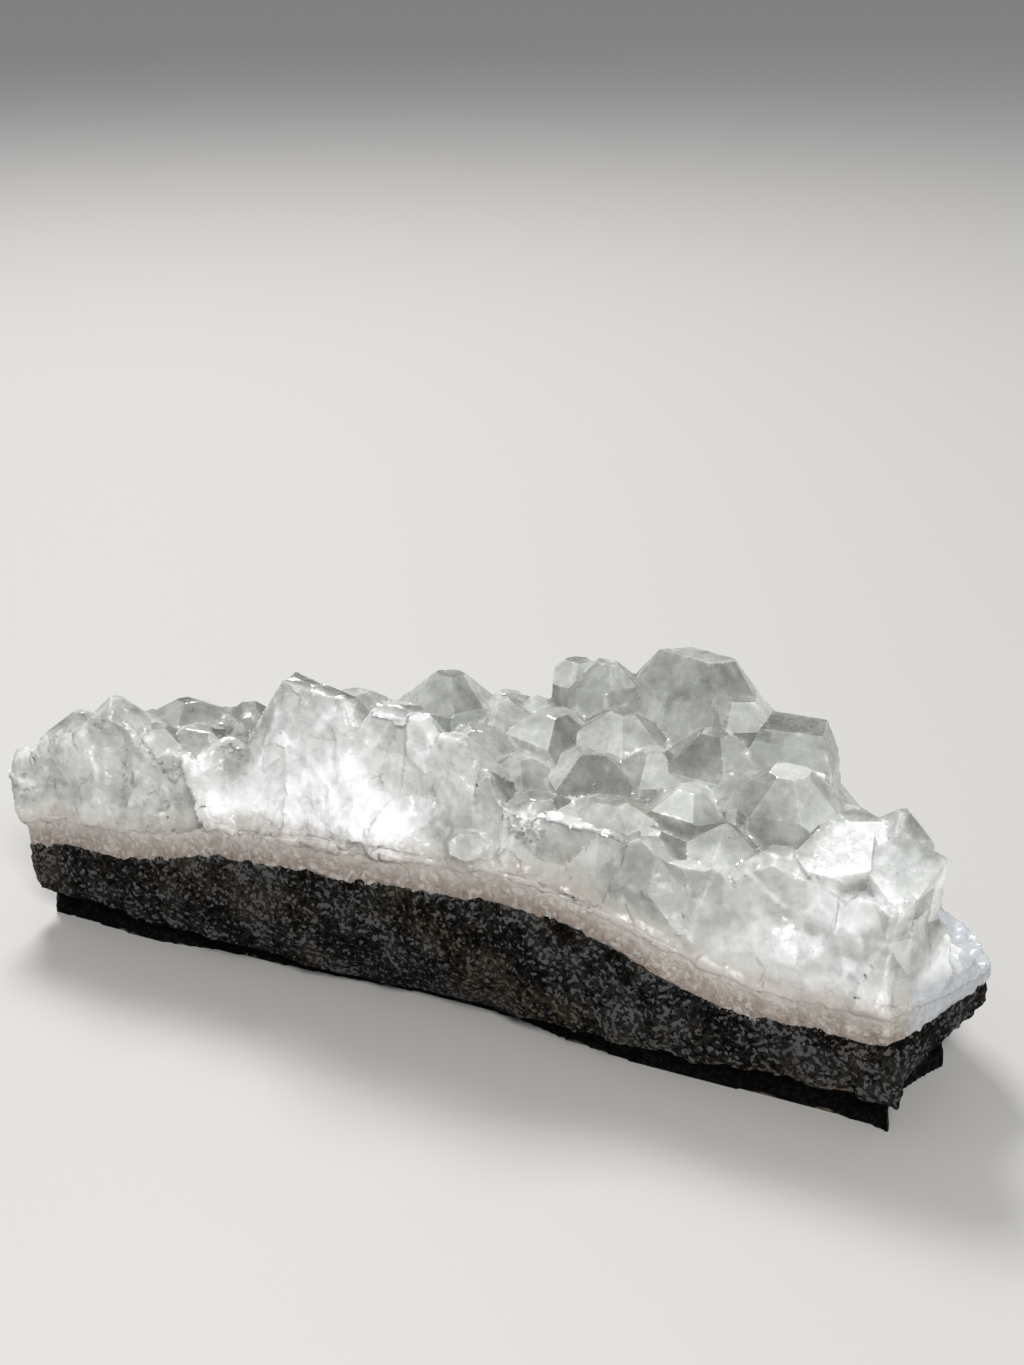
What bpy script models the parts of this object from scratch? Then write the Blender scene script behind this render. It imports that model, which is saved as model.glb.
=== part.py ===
"""Apophyllite cluster: clear and milky crystals on a fine-grained band, on a slab of dark volcanic rock.

The slab was broken from the lining of a cavity, so its front and its right-hand end are rough breaks through
rock, band and crystal roots, while the top and the back still show the crystals' own faces. X runs along the
broken front, Y from the front to the back and Z upwards. The origin is the middle of the underside, on the
table. Lengths below are in millimetres and are turned to metres when a mesh is made.
"""

import math
import random

import bmesh
import bpy
from mathutils import Matrix, Vector, noise

MM = 0.001
LENGTH = 163.0
DEPTH = 61.0
LAYER_GAP = 0.3

# Plan of the slab where rock and band meet, anticlockwise from the near right-hand corner
NEAR_CORNER = (72.2, -30.0)
BACK_CORNER = (81.2, -5.2)
SLAB_PLAN = [
    NEAR_CORNER,
    (76.0, -19.5),
    BACK_CORNER,
    (76.5, 2.0),
    (67.0, 10.0),
    (56.0, 19.0),
    (42.0, 27.0),
    (26.0, 30.4),
    (9.0, 27.5),
    (-7.0, 20.5),
    (-23.0, 13.5),
    (-39.0, 6.0),
    (-55.0, -2.5),
    (-70.0, -11.0),
    (-79.3, -19.0),
    (-80.6, -25.5),
    (-79.2, -29.3),
    (-60.0, -30.0),
    (-40.0, -29.6),
    (-20.0, -29.8),
    (0.0, -29.3),
    (20.0, -29.7),
    (40.0, -30.0),
    (58.0, -29.6),
]
PLAN_STEP = 5.4

# Height of the rock's upper surface along the broken front, as (x, z)
ROCK_TOP = [
    (-80.0, 14.2),
    (-68.0, 16.4),
    (-52.5, 16.8),
    (-44.5, 20.3),
    (-32.0, 21.6),
    (-15.0, 22.6),
    (-2.0, 23.3),
    (12.0, 24.9),
    (20.0, 24.0),
    (28.0, 22.4),
    (36.0, 19.3),
    (44.0, 16.9),
    (50.0, 15.5),
    (60.0, 15.8),
    (84.0, 16.2),
]
ROCK_TOP_AT_BACK = 17.0
BAND_THICKNESS = 4.2
# The crystals' roots are grown together over this height; they reach higher under the tallest crystals
ROOT_THICKNESS = 10.5
ROOT_RISE = 5.0
TALLEST = (22.0, 2.0)
RISE_SPREAD = (34.0, 20.0)

# The speckled face ends at a lip above the table, and a dark foot stands back under it. Along the front, as
# (x, millimetres): the lip's height, how far the lip stands back from the face, and how far the foot does
LIP_HEIGHT = [
    (-80.0, 6.0),
    (-64.0, 6.0),
    (-55.0, 4.4),
    (-42.0, 5.0),
    (-30.0, 3.6),
    (-16.0, 1.8),
    (10.0, 1.8),
    (18.0, 4.6),
    (32.0, 5.0),
    (50.0, 6.0),
    (72.0, 6.2),
]
LIP_SETBACK = [(-80.0, 0.6), (-42.0, 0.8), (-30.0, 2.0), (-14.0, 5.2), (8.0, 5.6), (18.0, 1.6), (32.0, 0.4)]
FOOT_SETBACK = [(-80.0, 4.0), (-55.0, 3.4), (-42.0, 5.2), (-5.0, 7.6), (10.0, 7.4), (21.0, 5.2), (32.0, 4.2)]
# The same round the other sides, where the foot stands back less at the left-hand end
LIP_HEIGHT_AROUND = 7.5
LIP_HEIGHT_AT_BACK_CORNER = 12.5
CORNER_SPREAD = 20.0
LIP_SETBACK_AROUND = 0.8
FOOT_SETBACK_AROUND = [(-79.0, 2.6), (-66.0, 6.0)]
# The foot's hollow is roofed at this share of the lip's height
UNDERCUT_SHARE = 0.72
# The face above the lip, level by level: share of the way to its top, share of the lip's setback that is
# left, bulge in millimetres, and share of the corner's flare
FACE_TOP = 30.0
FACE_LEVELS = {
    "lip": (0.0, 1.0, 0.0, 0.9),
    "lower": (0.12, 0.62, 0.2, 1.0),
    "middle": (0.26, 0.25, 0.5, 0.5),
    "upper": (0.4, 0.0, 0.3, 0.1),
    "top": (1.0, 0.0, 0.0, 0.0),
}
# The bottom of the near right-hand corner stands out sideways, its foot a little more than its face
CORNER_FLARE = 2.6
CORNER_REACH = 8.0
FOOT_FLARE = 1.2
# Towards the back right-hand corner the crystals thin out to nothing and the band to a third
END_FALL = 22.0

# The slab was broken through where its plan lies before FRONT_EDGE or beyond END_EDGE. Above the rock the
# break through the crystals leans back by these millimetres for each millimetre that it rises
FRONT_EDGE = -27.5
END_EDGE = 72.0
BREAK_LEAN = 0.17
END_LEAN = 0.06
BREAK_UPRIGHT_TO = 20.0
BREAK_ROUGHNESS = 1.0
BAND_LEVELS = (8, 16, 22, 28, 36)
ROOT_LEVELS = (8, 24, 32, 40, 60)
BREAK_LEVELS = (12, 19, 25, 31, 37, 43, 49, 75)
# How far the roots run past the break before it cuts them, and how far its cutting solid keeps clear elsewhere
PAST_BREAK = 4.0
CLEAR_OF_CRYSTALS = 16.0

# One row for each crystal: name, crown centre (x, y, z), foot (x, y), width and depth across its sides,
# number of sides, turn in degrees, angle of its tip faces from its axis, width and depth of its flat crown
CRYSTALS = [
    # Left-hand end
    ("left_knob", (-77.8, -25.5, 30.5), (-73, -24), 11, 12, 6, 10, 50, 3.0, 3.0),
    ("left_outer_tip", (-71.5, -22.5, 38.0), (-69, -22), 12, 14, 5, 20, 46, 2.0, 1.5),
    ("left_main_tip", (-63.4, -22.5, 42.0), (-62, -22), 17, 17, 6, 5, 44, 2.0, 1.5),
    ("left_shoulder", (-73.5, -27.0, 33.5), (-70, -25), 13, 11, 5, 40, 48, 3.0, 2.0),
    ("left_front", (-64.0, -27.0, 35.5), (-64, -26), 16, 14, 5, 10, 48, 5.0, 3.0),
    ("left_rear", (-75.0, -16.5, 31.0), (-70, -16), 12, 11, 6, 0, 48, 2.5, 2.5),
    ("left_saddle", (-55.5, -22.0, 38.3), (-56, -21), 15, 14, 5, 15, 52, 3.0, 2.0),
    # Low grey crystals between the left-hand end and the tall block
    ("grey_ridge", (-56.0, -13.0, 39.4), (-55, -13), 15, 12, 6, 12, 58, 4.0, 2.0),
    ("grey_low", (-49.5, -19.0, 37.8), (-50, -18), 17, 13, 6, 30, 62, 5.0, 2.0),
    ("pale_low", (-49.5, -9.5, 37.4), (-49, -9), 14, 12, 5, 0, 58, 4.0, 3.0),
    ("grey_wedge", (-43.2, -13.5, 41.0), (-43, -12), 12, 13, 4, 35, 42, 2.0, 3.0),
    ("front_pane", (-40.0, -24.0, 39.3), (-39, -21), 14, 12, 5, 62, 48, 5.0, 2.0),
    ("front_stub", (-49.5, -27.0, 35.5), (-49, -25), 15, 13, 5, 20, 50, 4.0, 3.0),
    ("front_root", (-38.0, -28.5, 33.0), (-38, -27), 16, 12, 5, 0, 50, 6.0, 4.0),
    # The tall block with a narrow flat crown, and what stands behind it
    ("tall_block", (-24.6, -21.5, 50.4), (-30, -19), 24, 20, 4, 0, 26, 13.0, 3.0),
    ("behind_block", (-25.5, -9.0, 45.0), (-25, -8), 14, 13, 6, 20, 55, 4.0, 3.0),
    ("behind_left", (-34.0, -8.0, 42.5), (-34, -7), 15, 15, 5, 5, 50, 3.0, 3.0),
    ("behind_notch", (-16.5, -11.5, 45.3), (-16, -11), 13, 13, 6, 10, 55, 4.0, 3.0),
    # White broken mass right of the block
    ("white_mass", (-9.2, -22.5, 49.6), (-10, -20), 23, 18, 5, 40, 36, 9.0, 4.0),
    ("white_step", (0.2, -23.0, 47.4), (0, -21), 16, 15, 5, 55, 40, 3.5, 3.0),
    ("white_edge", (5.2, -25.0, 43.2), (5, -23), 13, 13, 4, 20, 42, 2.5, 2.0),
    ("white_root", (-6.0, -27.5, 40.0), (-6, -26), 18, 13, 5, 30, 45, 8.0, 4.0),
    # Rounded apexes along the skyline
    ("skyline_round", (-9.6, -5.5, 49.6), (-8.5, -5.5), 18, 17, 7, 8, 46, 4.5, 3.5),
    ("skyline_slope", (-1.8, -3.5, 46.0), (-1, -4), 14, 13, 5, 30, 52, 3.0, 3.0),
    ("skyline_small", (3.0, 1.0, 45.2), (3, 1), 12, 12, 5, 10, 52, 3.0, 2.0),
    ("twin_left", (7.8, 5.5, 51.2), (9, 4), 12, 12, 7, 0, 46, 3.5, 3.0),
    ("twin_right", (13.0, 5.5, 51.9), (13, 4), 13, 13, 6, 25, 46, 4.0, 3.0),
    ("great_crystal", (27.0, 11.0, 53.5), (26, 8), 29, 24, 6, 22, 39, 13.0, 4.0),
    ("great_shoulder", (34.6, 9.0, 48.8), (34, 8), 15, 16, 5, 10, 36, 5.0, 6.0),
    ("square_block", (46.2, 3.8, 48.0), (45.5, 3), 15, 13, 4, 12, 24, 10.0, 7.0),
    # Smooth crystals between the skyline and the front
    ("slope_a", (-1.5, -11.0, 44.0), (-2, -10), 16, 15, 5, 0, 54, 3.0, 3.0),
    ("slope_b", (8.5, -4.5, 46.0), (8, -4), 18, 16, 5, 40, 52, 4.0, 3.0),
    ("slope_c", (19.0, -1.5, 46.8), (18, -1), 18, 16, 6, 8, 55, 4.0, 2.5),
    ("slope_d", (7.0, -14.0, 42.0), (7, -13), 16, 15, 6, 25, 56, 4.0, 3.0),
    ("slope_e", (17.5, -10.5, 43.4), (17, -10), 17, 15, 5, 12, 56, 5.0, 2.5),
    ("slope_f", (26.5, -7.0, 44.0), (26, -6), 16, 15, 6, 0, 54, 3.0, 3.0),
    ("slope_g", (34.5, -2.5, 46.8), (34, -2), 19, 18, 5, 52, 47, 4.0, 3.0),
    ("slope_h", (41.5, -8.0, 43.6), (41, -8), 14, 14, 5, 20, 50, 3.0, 3.0),
    ("slope_i", (35.5, -13.0, 41.8), (35, -13), 16, 14, 6, 15, 54, 4.0, 3.0),
    # Front row above the smooth break
    ("sill_a", (14.0, -21.5, 39.8), (14, -20), 17, 15, 5, 5, 55, 4.0, 3.0),
    ("sill_b", (24.5, -19.5, 40.2), (24, -18), 16, 14, 6, 35, 56, 5.0, 3.0),
    ("sill_c", (33.0, -23.5, 38.6), (33, -22), 15, 14, 5, 0, 52, 3.0, 2.0),
    ("dark_pyramid", (43.8, -20.5, 40.8), (43, -19), 16, 16, 4, 45, 44, 1.0, 1.0),
    ("sill_d", (52.5, -22.5, 39.4), (52, -21), 15, 14, 5, 25, 55, 4.0, 3.0),
    ("smooth_root_a", (26.0, -27.0, 35.5), (26, -26), 18, 14, 5, 12, 50, 8.0, 4.0),
    ("smooth_root_b", (41.0, -27.0, 36.0), (41, -26), 19, 14, 6, 5, 50, 9.0, 4.0),
    ("smooth_root_c", (56.5, -27.0, 37.2), (56, -26), 20, 14, 5, 30, 50, 9.0, 4.0),
    ("round_dome", (49.2, -8.5, 45.4), (48, -7), 19, 18, 8, 5, 48, 6.0, 5.0),
    # Right-hand group: a bright pane, a ridge, and a block split along its flat cleavage
    ("bright_pane", (60.6, -22.0, 40.8), (62, -9), 13, 13, 5, 8, 35, 10.0, 9.0),
    ("bright_ridge", (62.0, -14.0, 43.2), (61, -12), 16, 11, 5, 5, 44, 7.0, 2.0),
    ("ridge_tip", (67.6, -12.5, 44.6), (65.5, -11), 10, 9, 4, 40, 38, 1.5, 1.5),
    ("cleaved_block", (70.8, -21.2, 39.5), (64.5, -10), 13.2, 14, 5, 12, 30, 11.5, 11.0),
    ("corner_root", (69.0, -26.5, 36.0), (67, -25), 15, 14, 5, 20, 40, 7.0, 5.0),
    ("end_ledge", (73.0, -17.0, 31.0), (71, -17), 11, 11, 5, 30, 45, 3.0, 3.0),
    ("end_low", (75.6, -11.0, 23.5), (74, -11), 8, 8, 5, 0, 50, 3.0, 3.0),
    # Back of the cluster, falling away to the edge of the slab
    ("back_a", (-64.0, -12.5, 35.5), (-62, -12), 15, 13, 5, 10, 52, 3.0, 3.0),
    ("back_b", (-55.0, -4.0, 34.5), (-54, -5), 13, 12, 6, 0, 52, 3.0, 3.0),
    ("back_c", (-41.0, -3.0, 39.0), (-41, -3), 16, 15, 5, 20, 50, 3.0, 3.0),
    ("back_d", (-38.0, 4.0, 34.5), (-37, 2), 14, 12, 6, 15, 52, 3.0, 3.0),
    ("back_e", (-29.5, 1.0, 40.2), (-29, 1), 16, 15, 4, 25, 44, 3.0, 3.0),
    ("back_f", (-23.0, 10.5, 36.5), (-22, 8), 15, 13, 5, 0, 52, 3.0, 3.0),
    ("back_g", (-17.0, 3.0, 42.6), (-17, 3), 16, 15, 6, 5, 50, 4.0, 4.0),
    ("back_h", (-10.0, 16.5, 38.5), (-10, 13), 15, 14, 5, 30, 50, 3.0, 3.0),
    ("back_i", (-5.0, 8.0, 41.2), (-5, 8), 16, 15, 5, 12, 48, 4.0, 4.0),
    ("back_j", (3.0, 17.0, 40.5), (3, 16), 16, 15, 6, 20, 48, 4.0, 4.0),
    ("back_k", (6.0, 22.5, 34.5), (6, 20), 14, 11, 5, 5, 52, 3.0, 3.0),
    ("back_l", (15.0, 15.0, 46.5), (15, 14), 16, 15, 4, 30, 44, 3.0, 3.0),
    ("back_m", (18.0, 24.5, 38.0), (18, 22), 16, 12, 6, 0, 50, 4.0, 3.0),
    ("back_n", (28.5, 23.5, 42.0), (28, 21), 16, 13, 5, 15, 48, 4.0, 3.0),
    ("back_o", (34.5, 17.5, 43.5), (34.5, 16), 15, 15, 5, 5, 46, 3.0, 3.0),
    ("back_p", (38.0, 22.0, 34.5), (38, 20), 13, 11, 6, 20, 52, 3.0, 3.0),
    ("back_q", (43.5, 12.5, 39.5), (43, 12), 15, 15, 6, 10, 48, 4.0, 4.0),
    ("back_r", (49.5, 5.0, 36.0), (49.5, 5), 13, 13, 4, 35, 44, 3.0, 3.0),
    ("back_s", (49.5, 14.0, 31.5), (49, 12), 13, 11, 5, 0, 52, 3.0, 3.0),
    ("back_t", (56.5, -4.0, 38.8), (56, -4), 14, 13, 5, 20, 48, 4.0, 4.0),
    ("back_u", (60.5, 4.0, 30.0), (60, 3), 12, 12, 6, 10, 50, 3.0, 3.0),
    ("back_v", (65.5, -4.5, 30.0), (65, -5), 12, 11, 5, 0, 48, 3.0, 3.0),
    ("back_w", (69.0, -2.5, 22.8), (68, -3), 10, 9, 5, 15, 50, 3.0, 3.0),
    ("back_x", (56.5, 11.5, 29.8), (56, 10), 12, 11, 5, 30, 48, 2.5, 2.5),
    ("back_y", (64.5, 6.5, 26.2), (64, 6), 11, 10, 6, 0, 48, 2.5, 2.5),
    ("back_z", (45.0, 19.5, 31.0), (44.5, 18), 11, 11, 5, 12, 50, 3.0, 2.5),
]
FOOT_LEVEL = 16.0
SIDE_TAPER = 0.05

# Small crystals that stand out of the broken front: name, centre (x, y, z), radius, sides
FRONT_BUDS = [
    ("bud_round", (5.2, -27.4, 31.4), 4.6, 7),
    ("bud_upper", (13.2, -25.6, 36.4), 3.8, 6),
]
BUD_REACH = 2.2
BUD_TILT = 30.0

# Burst gas bubbles in the rock's front face: centre of the round hollow and its radius
PITS = [
    ("burst_bubble", (-19.0, -34.8, 16.9), 6.3),
    ("burst_bubble_small", (-13.8, -31.0, 10.6), 2.3),
]


def between(points, x):
    """Value at x on a line of (x, value) points, eased from one to the next."""
    for (x0, z0), (x1, z1) in zip(points, points[1:]):
        if x <= x1:
            share = min(max((x - x0) / (x1 - x0), 0.0), 1.0)
            share = share * share * (3 - 2 * share)
            return z0 + (z1 - z0) * share
    return points[-1][1]


def rock_top(x, y):
    """Upper surface of the rock: the front's own profile, which evens out towards the back."""
    backwards = min(max((y + DEPTH / 2) / (0.75 * DEPTH), 0.0), 1.0)
    ripple = 0.7 * noise.noise(Vector((x, y, 0.0)) * 0.09)
    return between(ROCK_TOP, x) * (1 - backwards) + ROCK_TOP_AT_BACK * backwards + ripple


def band_top(x, y):
    """Upper surface of the fine-grained band, a little thicker in some places than in others."""
    swell = 1.0 * noise.noise(Vector((x, y, 40.0)) * 0.11)
    return rock_top(x, y) + (BAND_THICKNESS + swell) * (0.35 + 0.65 * end_share(x, y))


def end_share(x, y):
    """0 at the back right-hand corner, where the growth on the rock ends, and 1 further in."""
    inwards = (BACK_CORNER[0] - x) + 0.55 * (BACK_CORNER[1] - y)
    return min(max(inwards / END_FALL, 0.0), 1.0)


def root_top(x, y):
    """Height up to which the crystals are grown together."""
    spread = ((x - TALLEST[0]) / RISE_SPREAD[0]) ** 2 + ((y - TALLEST[1]) / RISE_SPREAD[1]) ** 2
    uneven = 2.0 * noise.noise(Vector((x, y, 80.0)) * 0.13)
    thickness = ROOT_THICKNESS + ROOT_RISE * math.exp(-spread) + uneven
    return band_top(x, y) + thickness * (1.2 * end_share(x, y) - 0.2)


def plan_points():
    """The slab's plan, with a point about every PLAN_STEP."""
    points = []
    for index, start in enumerate(SLAB_PLAN):
        end = SLAB_PLAN[(index + 1) % len(SLAB_PLAN)]
        steps = max(1, round(math.dist(start, end) / PLAN_STEP))
        points += [Vector(start).lerp(Vector(end), step / steps) for step in range(steps)]
    return points


def outwards(points, index):
    """Horizontal direction away from the slab at one point of its plan."""
    along = points[(index + 1) % len(points)] - points[index - 1]
    return Vector((along.y, -along.x)).normalized()


def wall(name, ring_at, levels):
    """A closed upright solid on the slab's plan. ring_at gives the place of plan point index at a level."""
    bm = bmesh.new()
    corner = bm.verts.layers.int.new("corner")
    points = plan_points()
    for index, point in enumerate(points):
        vert = bm.verts.new(ring_at(points, index, levels[0]))
        vert[corner] = index
    bm.verts.ensure_lookup_table()
    top = bm.faces.new(bm.verts)
    for level in levels[1:]:
        sheet = [top, *top.edges, *top.verts]
        grown = bmesh.ops.extrude_face_region(bm, geom=sheet, use_keep_orig=level == levels[1])
        top = next(part for part in grown["geom"] if isinstance(part, bmesh.types.BMFace))
        for vert in top.verts:
            vert.co = ring_at(points, vert[corner], level)
    bmesh.ops.recalc_face_normals(bm, faces=bm.faces)
    bmesh.ops.triangulate(bm, faces=bm.faces)
    return mesh_object(name, bm)


def layer(name, low, high, cell=8.0):
    """A closed slab whose lower and upper surfaces are the heights low(x, y) and high(x, y)."""
    bm = bmesh.new()
    reach = (LENGTH / 2 + 14, DEPTH / 2 + 14)
    bmesh.ops.create_grid(
        bm,
        x_segments=round(2 * reach[0] / cell),
        y_segments=round(2 * reach[1] / cell),
        size=1.0,
    )
    bmesh.ops.scale(bm, vec=(reach[0], reach[1], 1.0), verts=bm.verts)
    sheet = list(bm.faces)
    grown = bmesh.ops.extrude_face_region(bm, geom=sheet, use_keep_orig=True)
    raised = [part for part in grown["geom"] if isinstance(part, bmesh.types.BMVert)]
    for vert in bm.verts:
        vert.co.z = low(vert.co.x, vert.co.y)
    for vert in raised:
        vert.co.z = high(vert.co.x, vert.co.y)
    bmesh.ops.recalc_face_normals(bm, faces=bm.faces)
    bmesh.ops.triangulate(bm, faces=bm.faces)
    return mesh_object(name, bm)


def cleave(bm, point, normal):
    """Split off what lies beyond a plane and close the solid with the new flat face."""
    whole = bm.verts[:] + bm.edges[:] + bm.faces[:]
    cut = bmesh.ops.bisect_plane(
        bm, geom=whole, dist=1e-5, plane_co=point, plane_no=normal, clear_outer=True
    )
    rim = [part for part in cut["geom_cut"] if isinstance(part, bmesh.types.BMEdge)]
    if rim:
        bmesh.ops.edgeloop_fill(bm, edges=rim)


def crystal(name, crown, foot, width, depth, sides, turn, slope, crown_width, crown_depth):
    """One crystal from its foot to its flat crown, cleaved from a block by its side faces and tip faces."""
    chance = random.Random(name)
    base = Vector((foot[0], foot[1], FOOT_LEVEL))
    axis = Vector(crown) - base
    bm = bmesh.new()
    bmesh.ops.create_cube(bm, size=1.0)
    bmesh.ops.translate(bm, vec=(0, 0, 0.5), verts=bm.verts)
    bmesh.ops.scale(bm, vec=(1.4 * width, 1.4 * depth, axis.length), verts=bm.verts)
    tip = math.radians(slope)
    for side in range(sides):
        facing = math.radians(turn + 360 * side / sides + chance.uniform(-7, 7))
        out = Vector((math.cos(facing), math.sin(facing), 0.0))
        reach = math.hypot(width * out.x, depth * out.y) / 2 * chance.uniform(0.9, 1.06)
        cleave(bm, out * reach, out + Vector((0, 0, SIDE_TAPER)))
        shoulder = math.hypot(crown_width * out.x, crown_depth * out.y) / 2 * chance.uniform(0.8, 1.2)
        lean = tip + math.radians(chance.uniform(-5, 5))
        normal = out * math.cos(lean) + Vector((0, 0, math.sin(lean)))
        cleave(bm, out * shoulder + Vector((0, 0, axis.length)), normal)
    upright = Vector((0, 0, 1)).rotation_difference(axis).to_matrix().to_4x4()
    bm.transform(Matrix.Translation(base) @ upright)
    bmesh.ops.recalc_face_normals(bm, faces=bm.faces)
    return mesh_object(name, bm)


def bud(name, centre, radius, sides):
    """A short blunt crystal that points out of the broken front."""
    chance = random.Random(name)
    bm = bmesh.new()
    bmesh.ops.create_cone(
        bm, cap_ends=True, segments=sides, radius1=radius, radius2=0.55 * radius, depth=2 * BUD_REACH
    )
    forwards = Matrix.Rotation(math.radians(90 - BUD_TILT), 4, "X")
    broad = Matrix.Diagonal((1.25, 0.85, 1.0, 1.0))
    spin = Matrix.Rotation(chance.uniform(0, math.tau), 4, "Z")
    bm.transform(Matrix.Translation(centre) @ forwards @ broad @ spin)
    return mesh_object(name, bm)


def mesh_object(name, bm):
    """An object in metres, at the origin, from a bmesh in millimetres."""
    bmesh.ops.scale(bm, vec=(MM, MM, MM), verts=bm.verts)
    mesh = bpy.data.meshes.new(name)
    bm.to_mesh(mesh)
    bm.free()
    return bpy.data.objects.new(name, mesh)


def boolean(target, operation, other):
    """Join, cut or clip with an object or with every object of a collection."""
    change = target.modifiers.new(f"{operation} {other.name}", "BOOLEAN")
    change.operation = operation
    change.solver = "EXACT"
    if isinstance(other, bpy.types.Collection):
        change.operand_type = "COLLECTION"
        change.collection = other
    else:
        change.object = other


def material(name, colour, roughness, transmission=0.0, ior=1.5):
    made = bpy.data.materials.new(name)
    made.use_nodes = True
    made.diffuse_color = (*colour, 1.0)
    shader = made.node_tree.nodes["Principled BSDF"]
    shader.inputs["Base Color"].default_value = (*colour, 1.0)
    shader.inputs["Roughness"].default_value = roughness
    shader.inputs["Metallic"].default_value = 0.0
    shader.inputs["Transmission Weight"].default_value = transmission
    shader.inputs["IOR"].default_value = ior
    return made


def rough(point, scale, amount, layer_seed):
    """A smooth random offset, the same each run, for a broken surface."""
    return amount * noise.noise(Vector(point) * scale + Vector((0.0, 0.0, layer_seed)))


def undercut_at(point):
    """Height of the lip at a plan point, and how far the lip and the foot stand back there."""
    if on_front(point):
        return [between(along, point.x) for along in (LIP_HEIGHT, LIP_SETBACK, FOOT_SETBACK)]
    towards_corner = max(0.0, 1 - math.dist(point, BACK_CORNER) / CORNER_SPREAD)
    height = LIP_HEIGHT_AROUND + (LIP_HEIGHT_AT_BACK_CORNER - LIP_HEIGHT_AROUND) * towards_corner
    foot_back = between(FOOT_SETBACK_AROUND, point.x)
    return [height + rough((*point, 0), 0.12, 1.8, 3.0), LIP_SETBACK_AROUND, foot_back]


def rock_ring(points, index, level):
    """Plan point of the rock at one of its levels: the foot, the undercut, then the face from its lip up."""
    point, out = points[index], outwards(points, index)
    lip, lip_back, foot_back = undercut_at(point)
    if level in ("foot", "undercut"):
        offset, flare = -foot_back, FOOT_FLARE
        height = 0.0 if level == "foot" else UNDERCUT_SHARE * lip
    else:
        share, setback, bulge, flare = FACE_LEVELS[level]
        offset = bulge - setback * lip_back
        height = lip + share * (FACE_TOP - lip)
    if level not in ("foot", "top"):
        offset += rough((point.x, point.y, height), 0.22, 0.9, 11.0) - 0.1
    place = point + out * offset
    place.x += CORNER_FLARE * flare * max(0.0, 1 - math.dist(point, NEAR_CORNER) / CORNER_REACH)
    return (place.x, place.y, height)


def band_ring(points, index, level):
    """Plan point of the band: it follows the rock's broken face and rounds in a little on its way up."""
    point, out = points[index], outwards(points, index)
    offset = rough((point.x, point.y, level), 0.3, 0.8, 5.0) - 0.15
    place = point + out * offset
    return (place.x, place.y, level)


def root_ring(points, index, level):
    """Plan point of the crystals' joined roots, past the break at the front and inside the plan elsewhere."""
    point, out = points[index], outwards(points, index)
    inwards = 0.06 * (level - BREAK_LEVELS[0]) - 0.4 + rough((point.x, point.y, level), 0.2, 1.2, 31.0)
    place = point + out * (PAST_BREAK if on_break(point) else -inwards)
    return (place.x, place.y, level)


def on_front(point):
    """True along the broken front."""
    return point.y < FRONT_EDGE


def on_break(point):
    """True where the slab was broken through: along its front and its right-hand end."""
    return on_front(point) or point.x > END_EDGE


def break_ring(points, index, level):
    """Plan point of the break through the crystals. Past the natural edges it stays clear of them."""
    point, out = points[index], outwards(points, index)
    if not on_break(point):
        place = point + out * CLEAR_OF_CRYSTALS
        return (place.x, place.y, level)
    leaning = (BREAK_LEAN if on_front(point) else END_LEAN) * max(0.0, level - BREAK_UPRIGHT_TO)
    facets = rough((point.x, point.y, level), 0.17, 2.4 * BREAK_ROUGHNESS, 7.0)
    chips = random.Random(f"{index} {level}").uniform(-BREAK_ROUGHNESS, 0.5 * BREAK_ROUGHNESS)
    place = point + out * (facets + 0.6 * chips - leaning - 0.4)
    return (place.x, place.y, level)


def build_matrix(nodes, cutters):
    rock = wall("basalt_matrix", rock_ring, ("foot", "undercut", *FACE_LEVELS))
    below = layer("rock_below_band", lambda x, y: -20.0, rock_top)
    cutters.objects.link(below)
    boolean(rock, "INTERSECT", below)
    for name, centre, radius in PITS:
        bm = bmesh.new()
        bmesh.ops.create_uvsphere(bm, u_segments=18, v_segments=12, radius=radius)
        bmesh.ops.translate(bm, vec=centre, verts=bm.verts)
        pit = mesh_object(name, bm)
        cutters.objects.link(pit)
        boolean(rock, "DIFFERENCE", pit)
    rock.data.materials.append(material("dark volcanic rock", (0.035, 0.033, 0.034), 0.85))
    nodes.objects.link(rock)


def build_band(nodes, cutters):
    band = wall("druse_band", band_ring, BAND_LEVELS)
    between_layers = layer(
        "band_between_surfaces", lambda x, y: rock_top(x, y) + LAYER_GAP, band_top
    )
    cutters.objects.link(between_layers)
    boolean(band, "INTERSECT", between_layers)
    band.data.materials.append(material("sugary pale band", (0.62, 0.54, 0.50), 0.6))
    nodes.objects.link(band)


def build_crystals(nodes, cutters, grown):
    cluster = layer("crystal_cluster", lambda x, y: 5.0, root_top)
    roots = wall("root_edge", root_ring, ROOT_LEVELS)
    for row in CRYSTALS:
        grown.objects.link(crystal(*row))
    broken = wall("break_through_crystals", break_ring, BREAK_LEVELS)
    above = layer("crystals_above_band", lambda x, y: band_top(x, y) + LAYER_GAP, lambda x, y: 90.0)
    buds = bpy.data.collections.new("front buds")
    cutters.children.link(buds)
    for row in FRONT_BUDS:
        buds.objects.link(bud(*row))
    for cutter in (roots, broken, above):
        cutters.objects.link(cutter)
    boolean(cluster, "INTERSECT", roots)
    boolean(cluster, "UNION", grown)
    boolean(cluster, "INTERSECT", broken)
    boolean(cluster, "UNION", buds)
    boolean(cluster, "INTERSECT", above)
    cluster.data.materials.append(
        material("clear and milky crystal", (0.86, 0.89, 0.87), 0.12, transmission=0.8, ior=1.54)
    )
    nodes.objects.link(cluster)


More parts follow.
